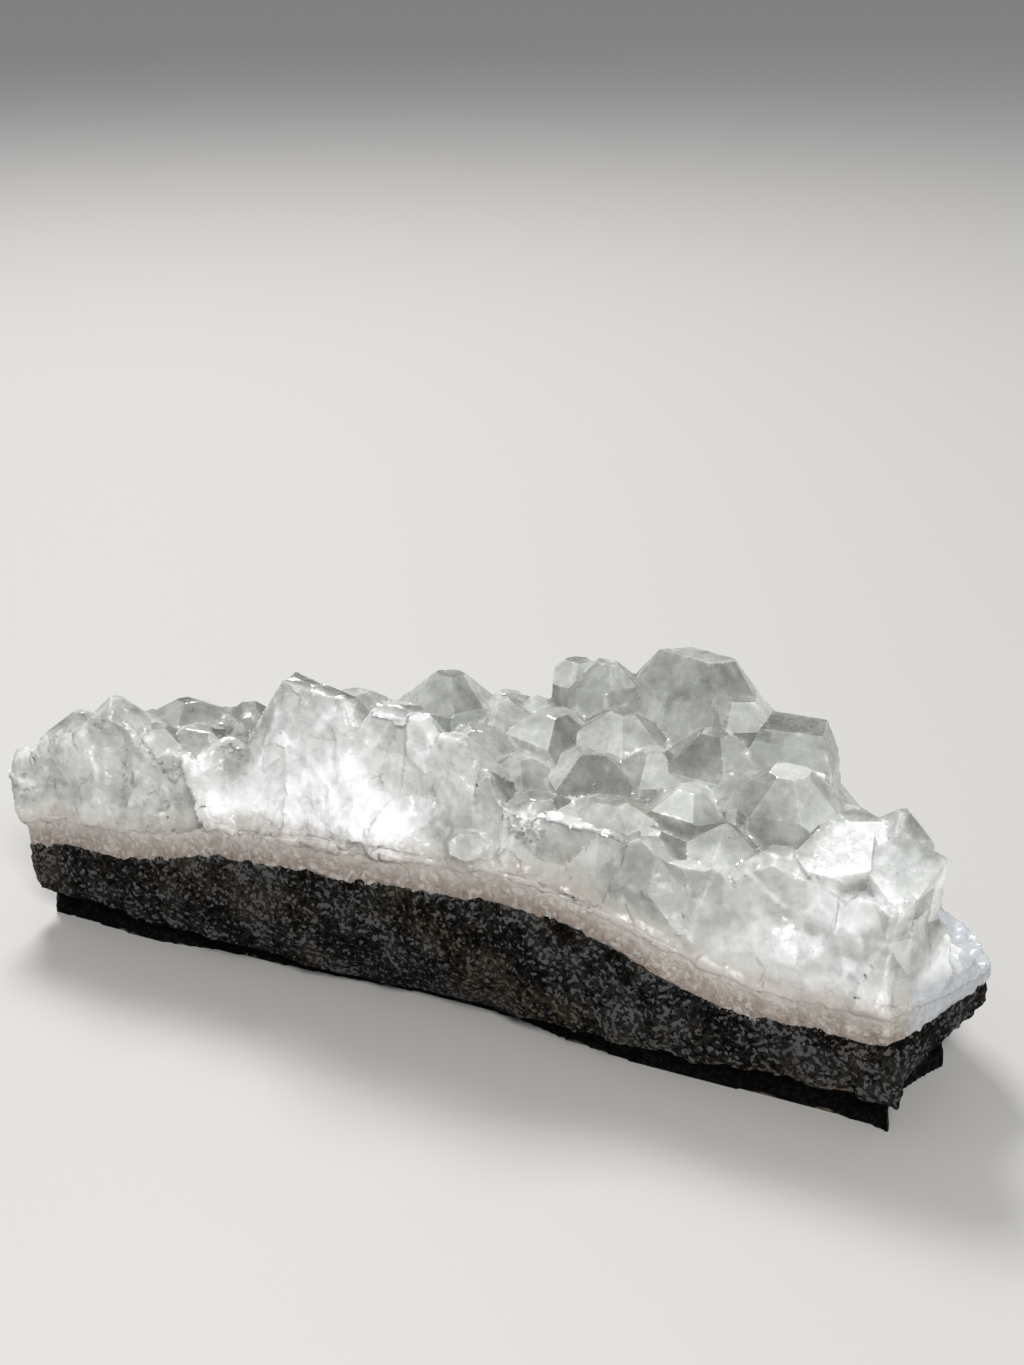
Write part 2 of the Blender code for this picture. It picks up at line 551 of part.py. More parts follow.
def hide_tools(collection):
    """Helpers stay in the file as wire outlines and are never rendered."""
    for tool in collection.all_objects:
        tool.hide_render = True
        tool.display_type = "WIRE"
    collection.hide_render = True


def main():
    for old in list(bpy.data.objects):
        bpy.data.objects.remove(old)
    nodes = bpy.data.collections.new("apophyllite cluster")
    cutters = bpy.data.collections.new("cutters")
    grown = bpy.data.collections.new("single crystals")
    for collection in (nodes, cutters):
        bpy.context.scene.collection.children.link(collection)
    cutters.children.link(grown)
    build_matrix(nodes, cutters)
    build_band(nodes, cutters)
    build_crystals(nodes, cutters, grown)
    hide_tools(cutters)


main()
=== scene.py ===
"""Apophyllite cluster on its slab of basalt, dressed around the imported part.

From the table upwards: the speckled rock, the thin sugary band on it, and the crystals. Lengths are in
millimetres and are turned to metres where a mesh or a material takes them.
"""

import bmesh
import bpy
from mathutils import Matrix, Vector, noise
from mathutils.bvhtree import BVHTree
from mathutils.kdtree import KDTree


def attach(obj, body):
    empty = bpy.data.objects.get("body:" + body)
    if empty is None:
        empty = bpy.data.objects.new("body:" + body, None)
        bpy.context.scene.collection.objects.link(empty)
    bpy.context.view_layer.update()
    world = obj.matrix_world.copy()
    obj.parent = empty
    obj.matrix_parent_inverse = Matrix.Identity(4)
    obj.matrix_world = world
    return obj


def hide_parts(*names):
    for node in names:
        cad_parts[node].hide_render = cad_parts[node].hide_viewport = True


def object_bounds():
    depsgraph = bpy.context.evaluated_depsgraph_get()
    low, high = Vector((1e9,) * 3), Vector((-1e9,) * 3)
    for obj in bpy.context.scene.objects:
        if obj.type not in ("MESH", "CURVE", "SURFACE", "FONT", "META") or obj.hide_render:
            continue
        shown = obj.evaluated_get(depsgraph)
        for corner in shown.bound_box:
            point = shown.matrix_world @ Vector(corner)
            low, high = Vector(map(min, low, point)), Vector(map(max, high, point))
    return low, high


NOISE_SEED = 3
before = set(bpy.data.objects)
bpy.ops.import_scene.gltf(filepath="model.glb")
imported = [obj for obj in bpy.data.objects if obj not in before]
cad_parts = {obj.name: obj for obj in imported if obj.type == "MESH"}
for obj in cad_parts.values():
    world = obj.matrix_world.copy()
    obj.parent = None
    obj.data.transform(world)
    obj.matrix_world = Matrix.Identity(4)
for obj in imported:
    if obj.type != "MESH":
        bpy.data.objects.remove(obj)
cad_low, cad_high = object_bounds()
noise.seed_set(NOISE_SEED)

# The specimen was broken out of the lining of a cavity in one piece, with a hammer, so rock, band and
# crystals share one skin. It is worked here as a whole, and each piece below takes its own stretch of it.
MM = 0.001
SKIN_CELL = 0.4
SAME_POINT = 0.001
# A face counts as level where its normal's z is at least this
LEVEL_FROM = 0.7
# Where the CAD nodes meet they are drawn into each other, and then the steps between them are evened out
MEETS_WITHIN = 1.0
MEETS_FROM = 0.25
REACH_INTO_NEXT = 1.0
SEAM_HEIGHT = 1.8
STEEP_TO = 0.9
SEAM_SMOOTHING = 24
SMOOTHING_SHARE = 0.5
# Edges between the crystals' faces: their least angle, and the marks on them, which draw near points out
CREASE = 0.35
CREASE_STEP = 0.1
CREASE_REACH = 0.26
# Reliefs: size of the features, then height or slope, then an offset that gives each one noise of its own
ROCK_LUMPS = (6.0, 0.7, 0.0)
ROCK_CHIPS = (4.5, 0.22, 0.0)
ROCK_GRIT = (1.3, 0.34, 7.0)
ROCK_FINE_GRIT = (0.65, 0.17, 21.0)
BAND_SWELL = (3.5, 0.3, 3.0)
BAND_SUGAR = (0.9, 0.26, 13.0)
CRYSTAL_SWELL = (9.0, 0.1, 31.0)
PANES = (10.0, 0.45, 41.0)
SPLINTERS = (3.2, 0.3, 43.0)
FROST = (1.0, 0.1, 47.0)
# How far each relief is let in, so that on the whole it stays level with the CAD model
ROCK_LET_IN = 0.2
BAND_LET_IN = 0.1
CRYSTALS_LET_IN = 0.03
BREAK_LET_IN = 0.25
# The heights over which one relief passes into the next, and the share of the crystals' at the band's top
ROCK_TO_BAND = 1.0
BAND_TO_CRYSTALS = 2.0
CRYSTALS_AT_TOP = 0.3
# Chips: how hollow each is, how its own tilt is drawn and how much deeper some lie than others
SCOOP = 0.5
TILT_SPREAD = 3.7
CHIP_STEPS = 0.3
PANE_SQUEEZE = 0.6
# The foot is calmer than the broken face over it
TABLE_CONTACT = 0.35
FOOT_RELIEF = 0.35
FOOT_CALM_TO = 5.0
FOOT_CALM_OVER = 3.0
# Small crystals cover the band where it lies bare, at the back right-hand corner: their size in millimetres,
# their height, and how far from each one's middle, in sizes, they start to rise
LEDGE_FROM = 72.0
LEDGE_OVER = 3.0
LEDGE_FADE = (2.0, 1.5)
LEDGE_POINTS = (1.9, 1.2, 0.7)
# The break through the crystals: where it starts over the rock, how it leans back and where it runs out
FRONT_AT_ROCK = -30.0
FRONT_LEAN = 0.17
LEAN_FROM = 20.0
BREAK_DEPTH = 2.6
BREAK_RUNS_OUT = 1.5
END_FROM = Vector((72.2, -30.0, 0.0))
END_OUT = Vector((24.8, -9.0, 0.0)).normalized()
END_TOP = 34.0
END_LET_IN = 1.0
CALM_FROM = 10.0
CALM_OVER = 15.0
CALMER_BY = 0.55


class TopSide:
    """The upward faces of a CAD node, for its height over any place or, past its edge, at that edge."""

    def __init__(self, node):
        mesh = node.data
        self.faces = [face for face in mesh.polygons if face.normal.z > LEVEL_FROM]
        flat = [Vector((vert.co.x, vert.co.y, 0.0)) for vert in mesh.vertices]
        self.tree = BVHTree.FromPolygons(flat, [face.vertices[:] for face in self.faces])

    def height(self, place):
        spot, _, index, _ = self.tree.find_nearest(Vector((place.x * MM, place.y * MM, 0.0)))
        face = self.faces[index]
        fall = (spot.x - face.center.x) * face.normal.x + (spot.y - face.center.y) * face.normal.y
        return (face.center.z - fall / face.normal.z) / MM


rock_top, band_top = [TopSide(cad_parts[node]) for node in ("basalt_matrix", "druse_band")]


def off_seam(place):
    """How far a place is above or below the nearer of the two surfaces at which the nodes meet."""
    return min(abs(place.z - top.height(place)) for top in (rock_top, band_top))


def eased(share):
    share = min(max(share, 0.0), 1.0)
    return share * share * (3 - 2 * share)


def in_noise(place, size, offset):
    """Where a place lies in a noise with features of about `size` millimetres."""
    return place / size + Vector((offset, 0.0, 0.0))


def soft_noise(place, size, amount, offset):
    """A smooth random height."""
    return amount * noise.noise(in_noise(place, size, offset))


def own_tilt(centre):
    """A random vector that belongs to one of the random points of a noise."""
    return noise.noise_vector(centre * TILT_SPREAD)


def chips(place, size, slope, offset):
    """Heights of a break: a shallow, tilted scoop round each random point, with ridges between them."""
    at = in_noise(place, size, offset)
    heights = []
    for away, centre in zip(*noise.voronoi(at)):
        tilt = own_tilt(centre)
        heights.append(SCOOP * away * away + tilt.dot(at - centre) + CHIP_STEPS * tilt.x)
    return size * slope * min(heights)


def among_panes(place):
    """A place, squeezed so that the panes of the break stand taller than they are wide."""
    return Vector((place.x, place.y, PANE_SQUEEZE * place.z))


def broken_share(place):
    """1 on the break through the crystals and 0 a few millimetres behind it."""
    front = place.y - FRONT_AT_ROCK - FRONT_LEAN * max(0.0, place.z - LEAN_FROM)
    end = -(place - END_FROM).dot(END_OUT) if place.z < END_TOP else BREAK_DEPTH
    return min(max(BREAK_RUNS_OUT - min(front, end + END_LET_IN) / BREAK_DEPTH, 0.0), 1.0)


def hackly_share(place):
    """How rough the break through the crystals is at a place: less on its right, where it ran more evenly."""
    return broken_share(place) * (1 - CALMER_BY * eased((place.x - CALM_FROM) / CALM_OVER))


def rock_relief(place):
    off_table = eased((place.z - FOOT_CALM_TO + FOOT_CALM_OVER) / FOOT_CALM_OVER)
    calm = FOOT_RELIEF + (1 - FOOT_RELIEF) * off_table
    grit = soft_noise(place, *ROCK_GRIT) + soft_noise(place, *ROCK_FINE_GRIT)
    return calm * (soft_noise(place, *ROCK_LUMPS) + chips(place, *ROCK_CHIPS) + grit - ROCK_LET_IN)


def band_relief(place):
    return soft_noise(place, *BAND_SWELL) + soft_noise(place, *BAND_SUGAR) - BAND_LET_IN


def crystal_relief(place):
    broken = broken_share(place)
    height = soft_noise(place, *CRYSTAL_SWELL) - CRYSTALS_LET_IN
    if broken > 0:
        panes = chips(among_panes(place), *PANES)
        hackly = panes + chips(place, *SPLINTERS) + soft_noise(place, *FROST)
        height += hackly_share(place) * hackly - BREAK_LET_IN * broken
    return height


def relief(place, outward):
    """How far the finished surface stands out from the CAD model's at a place, in millimetres."""
    if place.z < TABLE_CONTACT and outward.z < -LEVEL_FROM:
        return 0.0
    in_rock = 1 - eased((place.z - rock_top.height(place)) / ROCK_TO_BAND + 0.5)
    above_band = place.z - band_top.height(place)
    in_crystals = eased(above_band / BAND_TO_CRYSTALS + CRYSTALS_AT_TOP)
    height = 0.0
    if in_rock > 0:
        height += in_rock * rock_relief(place)
    if in_crystals > 0:
        height += in_crystals * crystal_relief(place)
    if in_rock + in_crystals < 1:
        height += (1 - in_rock - in_crystals) * band_relief(place)
    upward_end = eased((place.x - LEDGE_FROM) / LEDGE_OVER) * eased(outward.z)
    ledge = upward_end * eased(LEDGE_FADE[0] - above_band / LEDGE_FADE[1]) * (1 - in_rock)
    if ledge > 0:
        size, tall, rise_from = LEDGE_POINTS
        height += ledge * tall * (rise_from - noise.voronoi(place / size)[0][0])
    return height


def finished(piece):
    """Gives a piece the mesh that its modifiers make."""
    bpy.context.view_layer.update()
    mesh = bpy.data.meshes.new_from_object(piece.evaluated_get(bpy.context.evaluated_depsgraph_get()))
    piece.modifiers.clear()
    piece.data = mesh
    mesh.name = piece.name


def new_piece(name, bm):
    """An object from a bmesh, in the scene."""
    piece = bpy.data.objects.new(name, bpy.data.meshes.new(name))
    bm.to_mesh(piece.data)
    bm.free()
    bpy.context.scene.collection.objects.link(piece)
    return piece


def move_points(piece, coordinates):
    """Puts a piece's points where a flat list of their coordinates says, in metres."""
    piece.data.vertices.foreach_set("co", coordinates)
    piece.data.update()


def joined_nodes():
    """The three CAD nodes under one even skin, each drawn out a little so that it meets the next."""
    bm = bmesh.new()
    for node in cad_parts.values():
        bm.from_mesh(node.data)
    bmesh.ops.remove_doubles(bm, verts=bm.verts, dist=SAME_POINT * MM)
    bm.normal_update()
    for vert in bm.verts:
        if off_seam(vert.co / MM) < MEETS_WITHIN and abs(vert.normal.z) > MEETS_FROM:
            vert.co.z += REACH_INTO_NEXT * MM * (1 if vert.normal.z > 0 else -1)
    skin = new_piece("skin", bm)
    even = skin.modifiers.new("even mesh", "REMESH")
    even.mode = "VOXEL"
    even.voxel_size = SKIN_CELL * MM
    finished(skin)
    return skin


def sharpen_edges(skin):
    """Draws the skin's points out onto the edges between crystal faces, which the even mesh cuts off."""
    bm = bmesh.new()
    bm.from_mesh(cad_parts["crystal_cluster"].data)
    bmesh.ops.remove_doubles(bm, verts=bm.verts, dist=SAME_POINT * MM)
    marks = []
    for edge in bm.edges:
        if edge.calc_face_angle(0.0) > CREASE:
            steps = max(1, round(edge.calc_length() / (CREASE_STEP * MM)))
            first, second = [vert.co for vert in edge.verts]
            marks += [first.lerp(second, step / steps) for step in range(steps + 1)]
    bm.free()
    creases = KDTree(len(marks))
    for index, mark in enumerate(marks):
        creases.insert(mark, index)
    creases.balance()
    coordinates = []
    for vert in skin.data.vertices:
        mark, _, away = creases.find(vert.co)
        coordinates += [*(mark if away < CREASE_REACH * MM else vert.co)]
    move_points(skin, coordinates)


def smooth_seams(skin):
    """Evens out the steps between the CAD nodes where they meet."""
    bm = bmesh.new()
    bm.from_mesh(skin.data)
    near = [vert for vert in bm.verts if off_seam(vert.co / MM) < SEAM_HEIGHT]
    seam = [vert for vert in near if abs(vert.normal.z) < STEEP_TO]
    for _ in range(SEAM_SMOOTHING):
        bmesh.ops.smooth_vert(
            bm, verts=seam, factor=SMOOTHING_SHARE, use_axis_x=True, use_axis_y=True, use_axis_z=True
        )
    bm.to_mesh(skin.data)
    bm.free()


def sculpt(skin):
    """Moves each point of the skin by its relief and keeps it inside the CAD model's box."""
    low, high = cad_low / MM, cad_high / MM
    coordinates = []
    for vert in skin.data.vertices:
        place = vert.co / MM
        place += vert.normal * relief(place, vert.normal)
        coordinates += [min(max(place[axis], low[axis]), high[axis]) * MM for axis in range(3)]
    move_points(skin, coordinates)


skin = joined_nodes()
sharpen_edges(skin)
smooth_seams(skin)
sculpt(skin)
skin.data.shade_smooth()

# The slab of rock: fine-grained volcanic rock, nearly black, with grains of pale feldspar. Its front is a
# hackly break with two burst gas bubbles in it, and it lies on the foot under its lip. The lip's shade on
# the foot and the roof over it is painted into the colour, nearly black.
ROCK_POINTS_KEPT = 0.7
SHARP_FROM = 0.5
FLATS_WEIGHT = 75
# The ragged seams between the pieces, and the blocks that cut the skin along them
SEAM_CELL = 0.9
SEAM_LIFT = 0.15
SEAM_WAVE = (1.6, 0.8, 61.0)
BLOCK_MARGIN = 6.0
BLOCK_DEPTH = 10.0
# The lip and where its shade is painted. Whether it stands over a place is seen by looking up from just off
# the surface
LIP_TOP = 14.0
LIP_SPREAD = 3
LOOK_FROM = 0.6
ROOF_SLOPE = 0.7
UNDERSIDE_TO = 1.0
FRONT_HALF_TO = -12.0
WEATHERED_FROM = 12.0
WEATHERED_OVER = 10.0
# A rusty streak runs down the broken face between these two places, this far to either side
STREAK_FROM = Vector((-6.0, 0.0, 20.4))
STREAK_RUN = Vector((25.7, 0.0, -14.2))
STREAK_REACH = 5.0
STREAK_EDGE = 1.6
# The rock's textures: size of the features, detail and roughness. Blotches also have the two levels of the
# noise between which they set in
CRUMBS = (0.9, 6.0, 0.75)
FINE_CRUMBS = (0.35, 4.0, 0.7)
PALE_CELLS = 0.55
PATCHES = (7.0, 3.0, 0.5, 0.38, 0.66)
TAN_BLOTCHES = (10.0, 2.0, 0.5, 0.45, 0.75)
RUST_BLOTCHES = (2.0, 4.0, 0.7, 0.4, 0.55)
GROUND_RISES = (0.44, 0.68)
GRAINS_RISE = (0.8, 0.95)
# How the weathered rim and the painted shade on the foot set in with the mask of the lip's shade
RIM_RISES = (0.06, 0.25)
RIM_ENDS = (0.35, 0.6)
RIM_CRUMBS = (0.42, 0.58)
SHADE_RISES = (0.35, 0.7)
# The rock's colours, and for those laid over others how much they cover
DARK_GROUND = (0.0006, 0.0005, 0.0004)
LIGHT_GROUND = (0.028, 0.026, 0.023)
GREY_GRAIN = (0.115, 0.115, 0.12)
TAN_GRAIN = (0.135, 0.11, 0.075)
GRAIN_COVER = 0.8
TAN_GROUND = ((0.068, 0.050, 0.028), 0.45)
WEATHERED_RIM = ((0.15, 0.12, 0.085), 0.75)
# Painted shade: near black laid over the foot and the roof under the lip, and how much of it covers
PAINTED_SHADE_UNDER_LIP = ((0.0008, 0.0005, 0.0004), 0.95)
ROCK_IOR = 1.5
ROCK_SHEEN = 0.05
ROCK_BUMP = 1.0


def seam_height(top, place):
    """Height of the ragged seam over a CAD node's top side, in millimetres."""
    return top.height(place) + SEAM_LIFT + soft_noise(Vector((place.x, place.y, 0.0)), *SEAM_WAVE)


def under_seam(top, shift=0.0):
    """A closed block of everything under a seam, or under that seam moved up by `shift` millimetres."""
    reach = Vector((cad_high.x + BLOCK_MARGIN * MM, cad_high.y + BLOCK_MARGIN * MM, 1.0))
    across, along = [round(2 * side / (SEAM_CELL * MM)) for side in (reach.x, reach.y)]
    bm = bmesh.new()
    bmesh.ops.create_grid(bm, x_segments=across, y_segments=along, size=1.0)
    bmesh.ops.scale(bm, vec=reach, verts=bm.verts)
    grown = bmesh.ops.extrude_face_region(bm, geom=list(bm.faces), use_keep_orig=True)
    upper = {part for part in grown["geom"] if isinstance(part, bmesh.types.BMVert)}
    for vert in bm.verts:
        height = seam_height(top, vert.co / MM) + shift if vert in upper else -BLOCK_DEPTH
        vert.co.z = height * MM
    bmesh.ops.recalc_face_normals(bm, faces=bm.faces)
    return new_piece("under seam", bm)


def stretch_of_skin(name, steps, points_kept=1.0):
    """A closed piece cut from the skin by INTERSECT or DIFFERENCE with blocks, then thinned on its flats."""
    piece = skin.copy()
    piece.name = name
    bpy.context.scene.collection.objects.link(piece)
    for operation, block in steps:
        change = piece.modifiers.new(operation, "BOOLEAN")
        change.operation = operation
        change.solver = "MANIFOLD"
        change.object = block
    if points_kept < 1:
        piece.modifiers.new("fewer points on flats", "DECIMATE").ratio = points_kept
    finished(piece)
    piece.data.set_sharp_from_angle(angle=SHARP_FROM)
    flats = piece.modifiers.new("flats shade flat", "WEIGHTED_NORMAL")
    flats.weight = FLATS_WEIGHT
    flats.keep_sharp = True
    finished(piece)
    for _, block in steps:
        bpy.data.objects.remove(block)
    return piece


def dress(piece, material, node):
    """Puts a material on a piece that stands for a CAD node."""
    piece.data.materials.clear()
    piece.data.materials.append(material)
    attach(piece, "root")
    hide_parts(node)


class Field:
    """A number or colour that varies over a surface: a node's socket, on which sums add their own nodes."""

    def __init__(self, paint, socket):
        self.paint, self.socket = paint, socket

    def beside(self, out):
        """Another output of the same node."""
        return Field(self.paint, self.socket.node.outputs[out])

    def math(self, operation, first, second):
        return self.paint.node("Math", {"operation": operation}, {0: first, 1: second})

    def __add__(self, other):
        return self.math("ADD", self, other)

    def __radd__(self, other):
        return self.math("ADD", other, self)

    def __sub__(self, other):
        return self.math("SUBTRACT", self, other)

    def __rsub__(self, other):
        return self.math("SUBTRACT", other, self)

    def __mul__(self, other):
        return self.math("MULTIPLY", self, other)

    def __rmul__(self, other):
        return self.math("MULTIPLY", other, self)


class Paint:
    """A material under construction."""

    def __init__(self, name):
        self.material = bpy.data.materials.new(name)
        self.material.use_nodes = True
        self.tree = self.material.node_tree
        self.tree.nodes.clear()
        self.place = self.node("TexCoord", out="Object")

    def node(self, kind, settings=(), sockets=(), out=0):
        """Any node: its settings first, then its sockets' values or links. Returns its output."""
        made = self.tree.nodes.new("ShaderNode" + kind)
        for setting, value in dict(settings).items():
            setattr(made, setting, value)
        for name, value in dict(sockets).items():
            if isinstance(value, Field):
                self.tree.links.new(value.socket, made.inputs[name])
            else:
                made.inputs[name].default_value = value
        return Field(self, made.outputs[out])

    def noise(self, size, detail, roughness=0.5):
        """Noise from 0 to 1 with features of about `size` millimetres."""
        sockets = {"Vector": self.place, "Scale": 1 / (size * MM), "Detail": detail, "Roughness": roughness}
        return self.node("TexNoise", {}, sockets, out="Fac")

    def blotches(self, size, detail, roughness, low, high):
        """Blotches of about `size` millimetres: 0 where the noise is below `low`, 1 above `high`."""
        return self.rise(self.noise(size, detail, roughness), low, high)

    def cells(self, size, out):
        """Cells of about `size` millimetres: the "Position" of each one's middle, or its random "Color"."""
        return self.node("TexVoronoi", {}, {"Vector": self.place, "Scale": 1 / (size * MM)}, out=out)

    def cell_numbers(self, size):
        """A random number from 0 to 1 for each cell of about `size` millimetres."""
        return self.node("SeparateColor", {}, {0: self.cells(size, out="Color")})

    def vectors(self, operation, first, second, out="Vector"):
        """One step of reckoning with vectors."""
        return self.node("VectorMath", {"operation": operation}, {0: first, 1: second}, out=out)

    def facets(self, size, slope):
        """Heights in millimetres of a hackly surface: cells of about `size`, each tilted its own way."""
        centre = self.cells(size, out="Position")
        away = self.vectors("SUBTRACT", self.place, centre)
        tilt = self.vectors("SUBTRACT", centre.beside("Color"), (0.5, 0.5, 0.5))
        return 2 * slope / MM * self.vectors("DOT_PRODUCT", tilt, away, out="Value")

    def rise(self, field, low, high):
        """0 where the field is below `low`, 1 above `high`, eased between them."""
        sockets = {"Value": field, "From Min": low, "From Max": high}
        return self.node("MapRange", {"interpolation_type": "SMOOTHSTEP"}, sockets)

    def blend(self, share, first, second):
        """From the first colour to the second as share goes from 0 to 1."""
        colours = [c if isinstance(c, Field) else (*c, 1.0) for c in (first, second)]
        return self.node("Mix", {"data_type": "RGBA"}, {0: share, 6: colours[0], 7: colours[1]}, out=2)

    def tint(self, colour, share, tint, cover):
        """Lays a tint over a colour, with `cover` of it where the share is 1."""
        return self.blend(cover * share, colour, tint)

    def stored(self, name):
        """A number kept on the mesh."""
        return self.node("Attribute", {"attribute_name": name}, out="Fac")

    def bump(self, height, distance):
        """Surface relief of `distance` millimetres."""
        return self.node("Bump", {}, {"Height": height, "Distance": distance * MM}, out="Normal")

    def surface(self, sockets):
        return self.node("BsdfPrincipled", {}, sockets)

    def finish(self, surface, volume=None):
        output = self.tree.nodes.new("ShaderNodeOutputMaterial")
        self.tree.links.new(surface.socket, output.inputs["Surface"])
        if volume:
            self.tree.links.new(volume.socket, output.inputs["Volume"])
        return self.material


def faces_of(node):
    """The faces of a CAD node, for finding the one nearest to a place or in a direction from it."""
    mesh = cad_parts[node].data
    corners = [vert.co for vert in mesh.vertices]
    return BVHTree.FromPolygons(corners, [face.vertices[:] for face in mesh.polygons])


rock_faces = faces_of("basalt_matrix")


def keep_numbers(piece, name, domain, numbers):
    """Keeps a number for each POINT or FACE of a piece, for its material."""
    piece.data.attributes.new(name, "FLOAT", domain).data.foreach_set("value", numbers)


def keep(piece, name, number_at, spread=0):
    """Keeps a number on each point of a piece, evened out `spread` times with the points around it."""
    numbers = [number_at(vert.co / MM) for vert in piece.data.vertices]
    if spread:
        around = [[index] for index in range(len(numbers))]
        for edge in piece.data.edges:
            first, second = edge.vertices
            around[first].append(second)
            around[second].append(first)
        for _ in range(spread):
            numbers = [sum(numbers[index] for index in near) / len(near) for near in around]
    keep_numbers(piece, name, "POINT", numbers)


def under_lip(place):
    """1 on the foot and the roof over it, which the rock's lip shades, and 0 elsewhere: where that shade is
    painted.
    """
    if place.z > LIP_TOP:
        return 0.0
    spot, outward, _, _ = rock_faces.find_nearest(place * MM)
    if outward.z < -ROOF_SLOPE and place.z < UNDERSIDE_TO:
        return 0.0
    up = Vector((0.0, 0.0, 1.0))
    _, roof, _, _ = rock_faces.ray_cast(spot + LOOK_FROM * MM * outward, up, LIP_TOP * MM)
    return 1.0 if roof and roof.z < -ROOF_SLOPE else 0.0


def on_right(place):
    """1 where the lip is weathered pale, on the right half of the broken front, and 0 elsewhere."""
    return eased((place.x - WEATHERED_FROM) / WEATHERED_OVER) if place.y < FRONT_HALF_TO else 0.0


def in_streak(place):
    """1 along the middle of the rusty streak, easing to 0 at its edges."""
    if place.y > FRONT_HALF_TO:
        return 0.0
    over = Vector((place.x, 0.0, place.z)) - STREAK_FROM
    share = min(max(over.dot(STREAK_RUN) / STREAK_RUN.length_squared, 0.0), 1.0)
    return eased(STREAK_EDGE * (1 - (over - share * STREAK_RUN).length / STREAK_REACH))


def speckled_rock():
    paint = Paint("speckled basalt")
    shaded = paint.stored("under_lip")
    crumbs = paint.noise(*CRUMBS)
    fine = paint.noise(*FINE_CRUMBS)
    pale_cells = paint.cell_numbers(PALE_CELLS)
    patch = paint.blotches(*PATCHES)
    ground = paint.rise(crumbs + 0.5 * (fine - 0.5) + 0.12 * patch, *GROUND_RISES)
    grains = paint.rise(pale_cells + 1.2 * (crumbs - 0.5) + 0.25 * patch, *GRAINS_RISE)
    tan = 0.6 * paint.blotches(*TAN_BLOTCHES) + paint.stored("in_streak") * paint.blotches(*RUST_BLOTCHES)
    rim = paint.rise(shaded, *RIM_RISES) * (1 - paint.rise(shaded, *RIM_ENDS)) * paint.stored("on_right")
    colour = paint.blend(ground, DARK_GROUND, LIGHT_GROUND)
    colour = paint.tint(colour, grains, paint.blend(tan, GREY_GRAIN, TAN_GRAIN), GRAIN_COVER)
    colour = paint.tint(colour, tan * ground, *TAN_GROUND)
    colour = paint.tint(colour, rim * paint.rise(crumbs, *RIM_CRUMBS), *WEATHERED_RIM)
    # Painted shade: the foot and the roof under the lip are darkened nearly to black
    colour = paint.tint(colour, paint.rise(shaded, *SHADE_RISES), *PAINTED_SHADE_UNDER_LIP)
    height = 0.6 * crumbs + 0.25 * fine + 0.1 * pale_cells
    sockets = {
        "Base Color": colour,
        "Roughness": 0.8 - 0.35 * grains,
        "IOR": ROCK_IOR,
        "Specular IOR Level": ROCK_SHEEN,
        "Normal": paint.bump(height, ROCK_BUMP),
    }
    return paint.finish(paint.surface(sockets))


rock = stretch_of_skin("rock", [("INTERSECT", under_seam(rock_top))], ROCK_POINTS_KEPT)
keep(rock, "under_lip", under_lip, LIP_SPREAD)
keep(rock, "on_right", on_right)
keep(rock, "in_streak", in_streak)
dress(rock, speckled_rock(), "basalt_matrix")

# The band: the cavity's first lining, a few millimetres of sugary grains that are pinkish grey against the
# rock and whiten upwards. It grew on the rock, and the crystals' roots grew out of it, so nothing parts them.
BAND_OVERLAP = 0.35
OVERLAP_FROM = 0.02
TUCK = 0.02
# The band's textures, given as the rock's are
BAND_MOTTLE = (3.0, 4.0, 0.6)
BAND_GRAIN = (0.7, 3.0, 0.7)
BAND_CELLS = 0.7
BAND_BUMPS = (0.8, 4.0, 0.7)
DIRT_BLOTCHES = (1.2, 5.0, 0.7, 0.54, 0.64)
BRIGHT_CELLS = (0.6, 0.9)
# Heights over the rock between which it whitens, how far two of the textures shift these, and where dirt ends
WHITENS = (0.0, 5.0)
MOTTLE_SHIFT = 5.0
GRAIN_SHIFT = 3.0
CLEAN = (0.5, 3.0)
# Colours, given as the rock's are, and how light passes under the band's surface
BAND_AT_ROCK = (0.27, 0.222, 0.188)
BAND_AT_TOP = (0.465, 0.425, 0.38)
BRIGHT_SUGAR = ((0.62, 0.59, 0.56), 0.4)
BAND_DIRT = ((0.16, 0.09, 0.075), 0.6)
BAND_IOR = 1.5
BAND_GLOW = 0.6
BAND_GLOW_REACH = 1.5
BAND_GLOW_COLOUR = (1.0, 0.85, 0.8)
BAND_BUMP = 0.4
# The growth next to the rock turns bluish white at the right-hand end, from this far out and over this length
END_WHITE = ((0.47, 0.49, 0.51), 0.9)
END_WHITE_FROM = 59.0
END_WHITE_OVER = 5.0


def tuck_in(piece, top_below, top_above):
    """Draws a piece's two overlapping rims in, so that its neighbours' skins cover them."""
    coordinates = []
    for vert in piece.data.vertices:
        place = vert.co / MM
        under = seam_height(top_below, place) - place.z
        over = place.z - seam_height(top_above, place)
        tuck = TUCK if max(under, over) > OVERLAP_FROM else 0.0
        coordinates += [*(vert.co - vert.normal * tuck * MM)]
    move_points(piece, coordinates)


def off_rock(place):
    """Height of a place over the rock, in millimetres."""
    return place.z - rock_top.height(place)


def at_rock(paint, colour):
    """The colour of the growth next to the rock, which is bluish white at the right-hand end."""
    across = paint.node("SeparateXYZ", {}, {0: paint.place}, out="X")
    outwards = across + 0.5 * across.beside("Y")
    end = paint.rise(outwards, END_WHITE_FROM * MM, (END_WHITE_FROM + END_WHITE_OVER) * MM)
    return paint.tint(colour, end, *END_WHITE)


